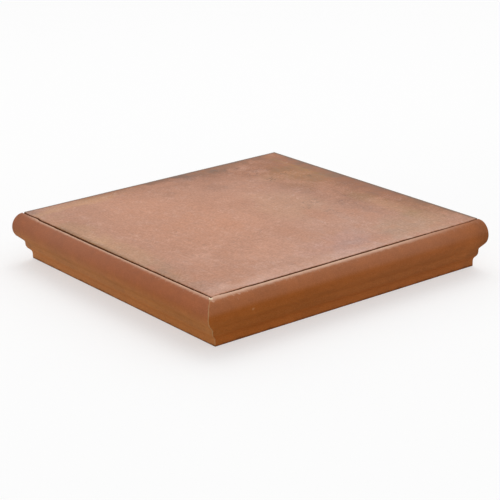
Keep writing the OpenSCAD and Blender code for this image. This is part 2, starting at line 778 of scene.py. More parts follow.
    @staticmethod
    def _crazing(place: Signal, offset: float) -> Signal:
        """Draws short fine lines that wander over the skin.

        Args:
            place: Where the surface is read.
            offset: Offset of the pattern.

        Returns:
            Their mask.
        """
        graph = place.graph
        moved = graph.vector("ADD", place, (offset, 0.0, 0.0))
        lines = graph.ramp(abs(graph.noise(moved, 95.0, 3.0, 0.6) - 0.5), 0.036, 0.008)
        return lines * graph.ramp(graph.noise(moved, 50.0, 2.0), 0.48, 0.6)

    @staticmethod
    def _mark(across: Signal, along: Signal, mark: DragMark) -> Signal:
        """Places one drag mark.

        Args:
            across: Place across the marks.
            along: Place along them.
            mark: The mark.

        Returns:
            Its mask.
        """
        graph = along.graph
        path = graph.join(0.0, along, mark.x)
        course = graph.shift(mark.x * MM, graph.noise(path, 60.0, 2.0) - 0.5, mark.wander * MM)
        line = graph.ramp(abs(across - course), mark.width * MM / 2, 0.0)
        middle, half = (mark.start + mark.end) / 2 * MM, abs(mark.end - mark.start) / 2 * MM
        length = graph.ramp(abs(along - middle), half, half * 0.6)
        return line * length * graph.ramp(graph.noise(path, 220.0, 2.0), 0.35, 0.6, 0.35, 1.0)


@dataclass(frozen=True)
class NosingSkin:
    """Plain skin of a moulded nosing, worn pale with a painted highlight along its arris, pale along its
    mitre, and with painted light, shade and reflection in its colour.

    Places on the moulding are millimetres round from the joint, and places along
    the strip are millimetres from the corner.

    Attributes:
        run: Direction of its own length.
        clay: Colour of the clay on the nose, in linear light.
        low_clay: Colour of the clay from the neck down, lighter partly in its own colour and partly by
            painted light against the shade under the nose.
        clay_turns: Where one turns into the other, round from the joint.
        specular: The shader's specular level.
        gloss: Mean roughness.
        relief: Depth of its bump.
        tone_swing: Swing of the clay's strength with the pattern.
        film_swing: Swing of the painted reflection.
        gloss_swing: Swing of the roughness.
        wax: Strength of the waxed sheen on the top of the nose.
        wax_fades: Where round the moulding the sheen ends, and where it is full.
        wax_gloss: Roughness of the sheen.
        dust: Painted reflection all over near the corner, as linear light.
        far_dust: The same painted reflection at the far end.
        dust_turns: Where along the strip one turns into the other.
        film: Painted reflection of the sky over the top of the nose, as linear light.
        film_fades: Where round the moulding that painted reflection ends, and where it is full.
        crown_fades: Where along the strip the painted reflection and the sheen start to fade, and where
            that ends.
        crown_end: Share of the painted reflection and the sheen that is left at the far end.
        shades: Bands of painted shade and painted light on the clay's colour.
        foot_gain: How much stronger the clay is made at the foot by painted light against the shade there,
            as a share.
        foot_from: Where round the moulding that starts, and where it is full.
        foot_soil: Painted contact shadow along the foot.
        wear: Worn pale line along the arris, with a painted highlight in it.
        wear_gloss: How much rougher the clay is along that worn line and painted highlight.
        wear_fades: Where along the strip the worn line and its painted highlight start to fade.
        wear_end: Share of the worn line and its painted highlight that is left at the far end.
        end_soil: How much darker the last of the strip is at its far end, as a share.
        end_from: Where along the strip that starts, and where it is full.
        scuffs: How far round the scuffs near the corner reach.
        scuffs_fade: Where along the strip they are weakest, and where strongest.
        scuff_shares: How bare the scuffed clay is there and there, 0 to 1.
        mortar: Fine line of mortar along the mitre.
        chips: Spots where the bare clay shows.
        seed: Offset of its own pattern.
    """

    run: Run
    clay: Colour = (0.315, 0.087, 0.013)
    low_clay: Colour = (0.351, 0.108, 0.0195)
    clay_turns: Point2 = (20.0, 34.0)
    specular: float = 0.0
    gloss: float = 0.45
    relief: float = 0.03
    tone_swing: Swing = Swing(cloud=0.10, mottle=0.08, grain=0.18, streak=0.04)
    film_swing: Swing = Swing(grain=0.010)
    gloss_swing: Swing = Swing(cloud=0.08)
    wax: float = 0.3
    wax_fades: Point2 = (22.0, 11.0)
    wax_gloss: float = 0.4
    dust: float = 0.008
    far_dust: float = 0.020
    dust_turns: Point2 = (50.0, 260.0)
    film: float = 0.020
    film_fades: Point2 = (21.0, 14.7)
    crown_fades: Point2 = (250.0, 325.0)
    crown_end: float = 0.5
    shades: tuple[PaintedShading, ...] = (PaintedShading(27.5, 9.0, -0.07), BAND_PAINTED_SHADE, SPLAY_PAINTED_LIGHT)
    foot_gain: float = 0.22
    foot_from: Point2 = (48.0, 53.0)
    foot_soil: EdgeLine = EdgeLine((0.09, 0.036, 0.014), 2.2, share=0.6, breaks=90.0, least=0.7, core=0.3)
    wear: EdgeLine = ARRIS_WEAR_AND_HIGHLIGHT
    wear_gloss: float = 0.4
    wear_fades: float = 185.0
    wear_end: float = 0.08
    end_soil: float = 0.22
    end_from: Point2 = (308.0, 327.0)
    scuffs: float = 14.0
    scuffs_fade: Point2 = (170.0, 15.0)
    scuff_shares: Point2 = (0.12, 0.55)
    mortar: EdgeLine = EdgeLine((0.42, 0.25, 0.12), 0.7, share=0.8, breaks=350.0)
    chips: tuple[Chip, ...] = ()
    seed: float = 0.0

    def build(self, effects: ClayEffects) -> Material:
        """Makes the material.

        Args:
            effects: The shared shader groups.

        Returns:
            The finished material.
        """
        graph, shader, material = new_surface(f"nosing skin {self.run.value}", self.specular)
        place = graph.object_place()
        axes = graph.split(place)
        along, height = axes[0 if self.run is Run.ALONG_X else 1], axes[2]
        girth = graph.stored("girth")
        from_corner = along - NEAR
        layers = graph.place(effects.grain, Vector=place, Mottle_Scale=150.0, Grain_Scale=1000.0)
        layers["Streak"] = graph.mask(
            effects.drag_lines, Across=girth, Along=along, Lines=130.0, Stretch=22.0, Seed=self.seed
        )

        # The painted reflection of the sky and the sheen lie on the top of the nose and fade towards the
        # far end
        kept = graph.over(from_corner, self.crown_fades, 1.0, self.crown_end)
        crown = graph.over(girth, self.film_fades, 0.0, self.film) * kept
        sheen = graph.over(girth, self.wax_fades, 0.0, self.wax) * kept
        # Painted reflection all over the strip, stronger towards the far end
        dust = graph.over(from_corner, self.dust_turns, self.dust, self.far_dust)
        film = self.film_swing.add_to(dust + crown, layers)
        # From the neck down the clay is lighter, partly its own colour and partly painted light against the
        # shade under the nose
        clay = graph.mix(graph.over(girth, self.clay_turns), self.clay, self.low_clay)
        tone = self.tone_swing.add_to(1.0, layers)
        # Painted light towards the foot, against the shade near the floor
        tone = tone + graph.over(girth, self.foot_from, 0.0, self.foot_gain)
        # Painted shade under the nose and on the band, painted light on the lower splay
        for shade in self.shades:
            tone = tone + graph.over(abs(girth - shade.at * MM), (shade.reach, 0.0), 0.0, shade.change)
        # Darker towards the far end
        tone = tone - graph.over(from_corner, self.end_from, 0.0, self.end_soil)
        colour = graph.vector("ADD", graph.vector("SCALE", clay, tone), graph.join(film, film, film))

        # Worn clay along the arris with a painted highlight in it, and scuffs near the corner
        worn_and_highlit = self._wear(effects, place, girth, along)
        colour = graph.mix(worn_and_highlit, colour, self.wear.tint)
        mitre = self.mortar.mask(effects, place, graph.stored("to_cut"))
        colour = graph.mix(mitre * self.mortar.share, colour, self.mortar.tint)
        for chip in self.chips:
            spot = graph.mask(
                effects.soft_patch,
                Vector=place,
                Centre=tuple(value * MM for value in chip.place),
                Reach=(chip.size * MM,) * 3,
                Cloud=layers["Grain"],
                Ragged=chip.ragged,
                Core=chip.core,
            )
            colour = graph.mix(spot * chip.share, colour, chip.tint)
        # Painted contact shadow along the foot
        foot_shadowed = self.foot_soil.mask(effects, place, height)
        colour = graph.mix(foot_shadowed * self.foot_soil.share, colour, self.foot_soil.tint)
        graph.feed(shader.inputs["Base Color"], colour)

        rough = self.gloss_swing.add_to(self.gloss, layers)
        graph.feed(shader.inputs["Roughness"], graph.shift(rough, worn_and_highlit, self.wear_gloss))
        graph.feed(shader.inputs["Coat Weight"], sheen * (1.0 - worn_and_highlit))
        shader.inputs["Coat Roughness"].default_value = self.wax_gloss
        specks = graph.mask(effects.specks, Vector=place, Cells=90.0, Size=0.07, Share=0.12)
        bumps = graph.shift(graph.shift(layers["Height"], layers["Streak"], 0.4), specks, -0.6)
        raise_bump(graph, shader, bumps, self.relief * MM)
        return material

    def _wear(self, effects: ClayEffects, place: Signal, girth: Signal, along: Signal) -> Signal:
        """Rubs the arris pale and paints a highlight along it, with scuffs beside it near the corner.

        Args:
            effects: The shared shader groups.
            place: Where the surface is read.
            girth: Distance round from the joint.
            along: Place along the strip.

        Returns:
            The mask of the worn clay and the painted highlight.
        """
        graph, from_corner = place.graph, along - NEAR
        # The line along the arris is worn clay with a painted highlight in it
        band = self.wear.mask(effects, place, girth)
        full, last = self.wear.share, self.wear.share * self.wear_end
        fade = graph.ramp(from_corner, self.wear_fades * MM, FAR - NEAR, full, last)
        uneven = graph.ramp(graph.noise(graph.join(along, self.seed, 0.0), 30.0), 0.3, 0.6, 0.75, 1.0)
        scuff = graph.mask(
            effects.scuffs,
            Vector=graph.join(along, girth * 0.7, self.seed),
            Distance=girth,
            Width=self.scuffs * MM,
            Scale=320.0,
        )
        scuffed = graph.over(from_corner, self.scuffs_fade, *self.scuff_shares)
        return graph.math("MAXIMUM", band * fade * uneven, scuff * scuffed)


@dataclass(frozen=True)
class BareClay:
    """Matte, sandy face where the clay was cut or never smoothed by the die.

    Attributes:
        clay: Colour of the clay, in linear light.
        strength: Mean strength of that colour.
        soil: Colour of the painted shade down in the joint.
        specular: The shader's specular level.
        gloss: Mean roughness.
        relief: Depth of its bump, in millimetres.
        tone_swing: Swing of the clay's strength with the pattern.
        gloss_swing: Swing of the roughness.
        joint_from: Where the joint starts, in millimetres in from the nose line.
        joint_reach: Where it ends.
    """

    clay: Colour = (0.42, 0.19, 0.09)
    strength: float = 0.95
    soil: Colour = (0.115, 0.034, 0.006)
    specular: float = 0.3
    gloss: float = 0.85
    relief: float = 0.15
    tone_swing: Swing = Swing(cloud=0.12, mottle=0.2, grain=0.15)
    gloss_swing: Swing = Swing(grain=0.1)
    joint_from: float = 10.0
    joint_reach: float = 18.0

    def build(self, effects: ClayEffects) -> Material:
        """Makes the material.

        Args:
            effects: The shared shader groups.

        Returns:
            The finished material.
        """
        graph, shader, material = new_surface("bare clay", self.specular)
        place = graph.object_place()
        across, along, height = graph.split(place)
        layers = graph.place(effects.grain, Vector=place, Mottle_Scale=260.0)
        colour = graph.vector("SCALE", self.clay, self.tone_swing.add_to(self.strength, layers))
        # Painted shade darkens the joint, below the arris and above the tile's underside
        inward = graph.math("MINIMUM", across, along) - NEAR
        beside = graph.ramp(inward, self.joint_reach * MM, (self.joint_reach - 1.0) * MM, kind="LINEAR")
        beside = beside * graph.math("GREATER_THAN", inward, self.joint_from * MM)
        below = graph.ramp(height, TOP - 0.8 * MM, TOP - 3.0 * MM)
        above = graph.math("GREATER_THAN", height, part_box("tread_tile")[0][2] - 0.5 * MM)
        graph.feed(shader.inputs["Base Color"], graph.mix(beside * below * above, colour, self.soil))
        graph.feed(shader.inputs["Roughness"], self.gloss_swing.add_to(self.gloss, layers))
        raise_bump(graph, shader, layers["Height"], self.relief * MM)
        return material


# ---------------------------------------------------------------------------
# Nosing strips
# ---------------------------------------------------------------------------


@dataclass(frozen=True)
class MouldingSection:
    """Cross-section of a nosing, as distance in from the nose line and height.

    Attributes:
        height: Height of the crown over the foot, in metres.
        depth: Distance from the nose line to the strip's back.
        ledge: Height of the ledge that carries the tile.
        joint_in: Distance in to the joint's near side.
        nose_radius: Radius of the half-round nose.
        splay: Slope of the two splays under horizontal, in degrees.
        neck_hollow: Radius of the hollow where the neck's splay meets the band.
        band_in: Distance in to the flat band.
        band_low: Height of the band's lower corner before it is eased.
        band_ease: Radius of that corner.
        foot_hollow: Radius of the hollow where the lower splay meets the plinth.
        plinth_in: Distance in to the plinth's face.
        arris_ease: Rounding at the joint, the foot and the heel.
        arris_step: Longest distance between two points of the outline on the arris.
        face_step: The same on the rest of the moulded face.
        back_step: The same on the hidden sides.
    """

    height: float
    depth: float
    ledge: float
    joint_in: float
    nose_radius: float = 13.0 * MM
    splay: float = 40.0
    neck_hollow: float = 4.0 * MM
    band_in: float = 13.2 * MM
    band_low: float = 14.0 * MM
    band_ease: float = 8.0 * MM
    foot_hollow: float = 6.0 * MM
    plinth_in: float = 20.7 * MM
    arris_ease: float = 0.8 * MM
    arris_step: float = 0.2 * MM
    face_step: float = 0.8 * MM
    back_step: float = 1.6 * MM

    @staticmethod
    def arc(centre: Point2, radius: float, start: float, end: float, step: float) -> list[Point2]:
        """Points along an arc.

        Args:
            centre: Its centre.
            radius: Its radius.
            start: Angle of its first point, in degrees.
            end: Angle of its last point, in degrees.
            step: Longest distance between two points.

        Returns:
            The points, both ends included.
        """
        length = radius * math.radians(abs(end - start))
        count = max(2, math.ceil(length / step))
        angles = [math.radians(start + (end - start) * i / count) for i in range(count + 1)]
        return [(centre[0] + radius * math.cos(a), centre[1] + radius * math.sin(a)) for a in angles]

    @staticmethod
    def round_path(corners: list[tuple[Point2, float]], step: float) -> list[Point2]:
        """Walks along straight runs with rounded corners between them.

        Args:
            corners: Each corner and its radius, with both ends of the path at radius 0.
            step: Longest distance between two points.

        Returns:
            The points, both ends included.
        """
        bends: list[list[Point2]] = []
        for index, (place, radius) in enumerate(corners):
            spot = Vector(place)
            if radius == 0:
                bends.append([tuple(spot)])
                continue
            before = (Vector(corners[index - 1][0]) - spot).normalized()
            after = (Vector(corners[index + 1][0]) - spot).normalized()
            half = before.angle(after) / 2
            centre = spot + (before + after).normalized() * radius / math.sin(half)
            tangents = [spot + side * radius / math.tan(half) - centre for side in (before, after)]
            start, end = (math.degrees(math.atan2(point.y, point.x)) for point in tangents)
            turn = (end - start + 180) % 360 - 180
            bend = MouldingSection.arc(tuple(centre), radius, start, start + turn, min(step, radius / 3))
            bends.append(bend)
        path = [bends[0][0]]
        for bend in bends[1:]:
            start, end = path[-1], bend[0]
            count = max(1, math.ceil(math.dist(start, end) / step))
            run = [i / count for i in range(1, count)]
            path += [(start[0] + (end[0] - start[0]) * t, start[1] + (end[1] - start[1]) * t) for t in run]
            path += bend
        return path

    def outline(self) -> tuple[list[Point2], int]:
        """Walks round the section once, from the joint's arris down the face.

        Returns:
            The outline's points, and how many of them lie on the moulded face.
        """
        nose = (self.nose_radius, self.height - self.nose_radius)
        slope = math.tan(math.radians(self.splay))
        under = 270 - self.splay
        neck_in = nose[0] + self.nose_radius * math.cos(math.radians(under))
        neck_top = nose[1] + self.nose_radius * math.sin(math.radians(under))
        neck_low = neck_top - (self.band_in - neck_in) * slope
        heel_top = self.band_low - (self.plinth_in - self.band_in) * slope
        tip_in = self.joint_in - self.arris_ease
        tip_rise = math.sqrt((self.nose_radius - self.arris_ease) ** 2 - (self.nose_radius - tip_in) ** 2)
        tip = (tip_in, nose[1] + tip_rise)
        crown = math.degrees(math.atan2(tip_rise, tip_in - nose[0]))

        face = self.arc(tip, self.arris_ease, 0, crown, self.arris_step)
        face += self.arc(nose, self.nose_radius, crown, under, self.face_step)[1:]
        corners = [
            ((neck_in, neck_top), 0.0),
            ((self.band_in, neck_low), self.neck_hollow),
            ((self.band_in, self.band_low), self.band_ease),
            ((self.plinth_in, heel_top), self.foot_hollow),
            ((self.plinth_in, 0.0), self.arris_ease),
            ((self.plinth_in + 2 * self.arris_ease, 0.0), 0.0),
        ]
        face += self.round_path(corners, self.face_step)[1:]
        rest = [
            (corners[-1][0], 0.0),
            ((self.depth, 0.0), self.arris_ease),
            ((self.depth, self.ledge), 0.0),
            ((self.joint_in, self.ledge), 0.0),
            ((self.joint_in, tip[1]), 0.0),
        ]
        return face + self.round_path(rest, self.back_step)[1:-1], len(face)


@dataclass(frozen=True)
class JointLine:
    """How far the open joint along one nosing wanders from its true line.

    Attributes:
        places: Places along the nosing, in millimetres.
        nosing: Shift of the nosing's arris inwards at each place.
        tile: Shift of the tile's edge inwards at each place.
        seed: Offset of the small unevenness of both edges.
        waves: Length and height of the waves that make it, in millimetres.
    """

    places: tuple[float, ...]
    nosing: tuple[float, ...]
    tile: tuple[float, ...]
    seed: float
    waves: tuple[Point2, ...] = ((31.0, 0.08), (13.0, 0.06), (7.0, 0.05), (4.3, 0.04))

    def nosing_shift(self, along: np.ndarray) -> np.ndarray:
        """Shift of the nosing's arris, in metres, at each place in metres."""
        return self._shift(along, self.nosing, self.seed)

    def tile_shift(self, along: np.ndarray) -> np.ndarray:
        """Shift of the tile's edge, in metres, at each place in metres."""
        return self._shift(along, self.tile, self.seed + 2.0)

    def _shift(self, along: np.ndarray, values: tuple[float, ...], seed: float) -> np.ndarray:
        """Slow wander between the stations with small waves on top.

        Args:
            along: Places along the nosing, in metres.
            values: Shift at each station, in millimetres.
            seed: Phase of the small waves.

        Returns:
            The shifts, in metres.
        """
        slow = np.interp(along / MM, self.places, values)
        for length, size in self.waves:
            slow = slow + size * np.sin(2 * math.pi * along / MM / length + seed * length)
        return slow * MM


class SweptStrip:
    """Geometry Nodes tree that sweeps a moulding section along its run."""

    def __init__(self) -> None:
        """Builds the tree."""
        self.tree = self._build()

    def _build(self) -> Tree:
        """Makes the tree: profile and path, placed section by section.

        Returns:
            The finished tree.
        """
        inputs = {
            "Geometry": "NodeSocketGeometry",
            "Near": NEAR,
            "Far": FAR,
            "Rings": 200,
            "Crowding": 0.9,
            "End Ease": 0.4 * MM,
            "Wander": 0.5 * MM,
            "Ripple": 0.1 * MM,
            "Seed": 0.0,
            "Skin": "NodeSocketMaterial",
            "Cut Face": "NodeSocketMaterial",
        }
        graph, given, sink = new_group(
            "swept strip", inputs, ("Geometry",), kind="GeometryNodeTree", gives="NodeSocketGeometry"
        )
        # The outline's own place and the path's own share ride on the points
        own_place = graph.out("GeometryNodeInputPosition")
        section = self._store(graph, given["Geometry"], "section", own_place, "FLOAT_VECTOR")
        profile = graph.out("GeometryNodeMeshToCurve", {"Mesh": section})
        path = graph.out("GeometryNodeCurvePrimitiveLine", {"End": (1.0, 0.0, 0.0)})
        rings = graph.out("GeometryNodeResampleCurve", {"Curve": path, "Count": given["Rings"]})
        share = graph.out("GeometryNodeSplineParameter", pick="Factor")
        marked = self._store(graph, rings, "share", share)
        inputs = {"Curve": marked, "Profile Curve": profile, "Fill Caps": True}
        sweep = graph.out("GeometryNodeCurveToMesh", inputs)

        # Rings crowd towards both ends, and the mitre's cut wanders a little
        inward, height, _ = graph.split(self._read(graph, "section", "FLOAT_VECTOR"))
        outward = self._read(graph, "outward", "FLOAT_VECTOR")
        even = self._read(graph, "share")
        crowded = graph.shift(0.5, graph.math("COSINE", even * math.pi), -0.5)
        eased = graph.blend(given["Crowding"], even, crowded)
        unsteady = graph.noise(graph.join(inward, height, 0.0), 160.0, 2.0) - 0.5
        cut_start = graph.shift(given["Near"] + inward, unsteady, given["Wander"])
        start = graph.math("MAXIMUM", cut_start, given["Near"])
        along = start + eased * (given["Far"] - start)

        # Ends: the outline shrinks over the last fraction of a millimetre
        ease = given["End Ease"]
        to_cut = graph.math("MINIMUM", (along - start) * math.sqrt(0.5), given["Far"] - along)
        lack = graph.math("MAXIMUM", ease - to_cut, 0.0)
        inset = ease - graph.math("SQRT", ease * ease - lack * lack)

        # Slow waves of the extruded face
        spot = graph.join(along, inward, height + given["Seed"])
        wave = graph.noise(graph.vector("MULTIPLY", spot, (1.0, 3.0, 3.0)), 22.0, 2.0)
        inset = graph.shift(inset, wave, given["Ripple"])
        move_in, move_up, _ = graph.split(graph.vector("SCALE", outward, inset * -1.0))
        place = graph.join(along, given["Near"] + inward + move_in, height + move_up)
        moved = graph.out("GeometryNodeSetPosition", {"Geometry": sweep, "Position": place})
        kept = self._store(graph, moved, "to_cut", to_cut)

        plain = graph.out("GeometryNodeRealizeInstances", (kept,))
        inputs = {"Geometry": plain, "Material": given["Cut Face"]}
        cut = graph.out("GeometryNodeSetMaterial", inputs)
        on_face = graph.math("GREATER_THAN", self._read(graph, "moulded"), 0.99)
        inputs = {"Geometry": cut, "Selection": on_face, "Material": given["Skin"]}
        graph.feed(sink.inputs["Geometry"], graph.out("GeometryNodeSetMaterial", inputs))
        return graph.tree

    @staticmethod
    def _store(graph: Graph, geometry: Signal, name: str, value: Signal, kind: str = "FLOAT") -> Signal:
        """Stores a value on every point.

        Args:
            graph: The tree's graph.
            geometry: What to store it on.
            name: The attribute's name.
            value: The value to store.
            kind: The attribute's data type.

        Returns:
            The geometry with the attribute.
        """
        inputs = {"Geometry": geometry, "Name": name, "Value": value}
        settings = {"data_type": kind, "domain": "POINT"}
        return graph.out("GeometryNodeStoreNamedAttribute", inputs, "Geometry", **settings)

    @staticmethod
    def _read(graph: Graph, name: str, kind: str = "FLOAT") -> Signal:
        """Reads a named attribute."""
        return graph.out("GeometryNodeInputNamedAttribute", {"Name": name}, "Attribute", data_type=kind)

    def sweep(self, profile: bpy.types.Object, values: dict[str, object]) -> bpy.types.Mesh:
        """Runs the tree on a profile and returns the plain mesh.

        Args:
            profile: Object whose mesh is the closed outline.
            values: The tree's inputs by name.

        Returns:
            The swept mesh.
        """
        modifier = profile.modifiers.new("sweep", "NODES")
        modifier.node_group = self.tree
        for item in self.tree.interface.items_tree:
            if item.item_type == "SOCKET" and item.in_out == "INPUT" and item.name in values:
                modifier[item.identifier] = values[item.name]
        bpy.context.view_layer.update()
        graph = bpy.context.evaluated_depsgraph_get()
        mesh = bpy.data.meshes.new_from_object(profile.evaluated_get(graph), depsgraph=graph)
        profile.modifiers.remove(modifier)
        return mesh


@dataclass
class NosingStrip:
    """One moulded nosing, mitred at the corner and square at its far end.

    Attributes:
        node: Name of the CAD node that it stands for.
        run: Direction in which it runs.
        section: Its cross-section.
        joint: Line of the open joint beside it.
        near: Lowest X and Y of the footprint, in metres.
        far: Highest X and Y of the footprint.
        seed: Offset of its own waves.
        wander: How far the mitre's cut strays from its plane, with a sign.
        rings: Number of sections along it.
        give: Width over which the crown takes up the joint's wander.
    """

    node: str
    run: Run
    section: MouldingSection
    joint: JointLine
    near: float
    far: float
    seed: float
    wander: float
    rings: int = 260
    give: float = 4.0 * MM

    def build(self, sweeper: SweptStrip, skin: Material, cut: Material) -> bpy.types.Object:
        """Makes the strip and hands it to the frame.

        Args:
            sweeper: The sweeping tree.
            skin: Finish of its moulded face.
            cut: Finish of its cut and hidden faces.

        Returns:
            The finished piece.
        """
        profile = self._profile()
        values = {
            "Near": self.near,
            "Far": self.far,
            "Rings": self.rings,
            "Wander": self.wander,
            "Seed": self.seed,
            "Skin": skin,
            "Cut Face": cut,
        }
        mesh = sweeper.sweep(profile, values)
        bpy.data.objects.remove(profile)
        self._follow_joint(mesh)
        if self.run is Run.ALONG_Y:
            mesh.transform(Matrix(((0, 1, 0, 0), (1, 0, 0, 0), (0, 0, 1, 0), (0, 0, 0, 1))))
        tidy_mesh(mesh)
        return hand_over(mesh, self.node)

    def _follow_joint(self, mesh: bpy.types.Mesh) -> None:
        """Moves the joint's side of the strip with the joint's line.

        Args:
            mesh: The strip's mesh, still running along X.
        """
        flat = np.empty(3 * len(mesh.vertices))
        mesh.vertices.foreach_get("co", flat)
        points = flat.reshape(-1, 3)
        inward = points[:, 1] - self.near
        share = np.clip((inward - self.section.joint_in + self.give) / self.give, 0, 1)
        share = share * share * (3 - 2 * share)
        share[inward > self.section.joint_in + 0.5 * MM] = 0
        share[points[:, 2] < self.section.ledge - 0.1 * MM] = 0
        from_mitre = np.clip((points[:, 0] - points[:, 1]) / self.give, 0, 1)
        points[:, 1] += share * from_mitre * self.joint.nosing_shift(points[:, 0])
        mesh.vertices.foreach_set("co", points.ravel())

    def _profile(self) -> bpy.types.Object:
        """Makes the outline as a closed loop of edges with its own attributes.

        Returns:
            An object in the scene that holds the outline.
        """
        points, on_face = self.section.outline()
        count = len(points)
        mesh = bpy.data.meshes.new(f"{self.node}_outline")
        mesh.from_pydata([(x, y, 0.0) for x, y in points], [(i, (i + 1) % count) for i in range(count)], [])
        ring = np.array(points)
        ahead = np.roll(ring, -1, axis=0) - np.roll(ring, 1, axis=0)
        outward = np.stack([ahead[:, 1], -ahead[:, 0], np.zeros(count)], axis=1)
        outward /= np.linalg.norm(outward, axis=1)[:, None]
        steps = np.linalg.norm(np.diff(ring, axis=0), axis=1)
        girth = np.concatenate([[0.0], np.cumsum(steps)])
        carry(mesh, "outward", outward)
        carry(mesh, "girth", girth)
        carry(mesh, "moulded", (np.arange(count) < on_face).astype(float))
        profile = bpy.data.objects.new(f"{self.node}_outline", mesh)
        bpy.context.scene.collection.objects.link(profile)
        return profile


def carry(mesh: bpy.types.Mesh, name: str, values: np.ndarray) -> None:
    """Stores a number or a vector on every point of a mesh.

    Args:
        mesh: The mesh.
        name: The attribute's name.
        values: One number per point, or one row of three.
    """
    kind, field = ("FLOAT", "value") if values.ndim == 1 else ("FLOAT_VECTOR", "vector")
    mesh.attributes.new(name, kind, "POINT").data.foreach_set(field, values.ravel())


def tidy_mesh(mesh: bpy.types.Mesh) -> None:
    """Merges doubles, turns the faces outwards and smooths the shading.

    Args:
        mesh: The closed mesh to tidy.
    """
    work = bmesh.new()
    work.from_mesh(mesh)
    bmesh.ops.remove_doubles(work, verts=work.verts, dist=1e-7)
    bmesh.ops.recalc_face_normals(work, faces=work.faces)
    work.to_mesh(mesh)
    work.free()
    mesh.shade_smooth()


def hand_over(mesh: bpy.types.Mesh, node: str) -> bpy.types.Object:
    """Makes the visible piece for a CAD node and tells the frame about it.

    Args:
        mesh: The piece's mesh, already in place.
        node: Name of the CAD node that it stands for.

    Returns:
        The piece.
    """
    piece = bpy.data.objects.new(f"{node}_looks", mesh)
    mesh.name = piece.name
    bpy.context.scene.collection.objects.link(piece)
    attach(piece, BODY)
    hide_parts(node)
    LOG.info("%s: %d vertices, %d faces", piece.name, len(mesh.vertices), len(mesh.polygons))
    return piece


# ---------------------------------------------------------------------------
# Tread tile
# ---------------------------------------------------------------------------


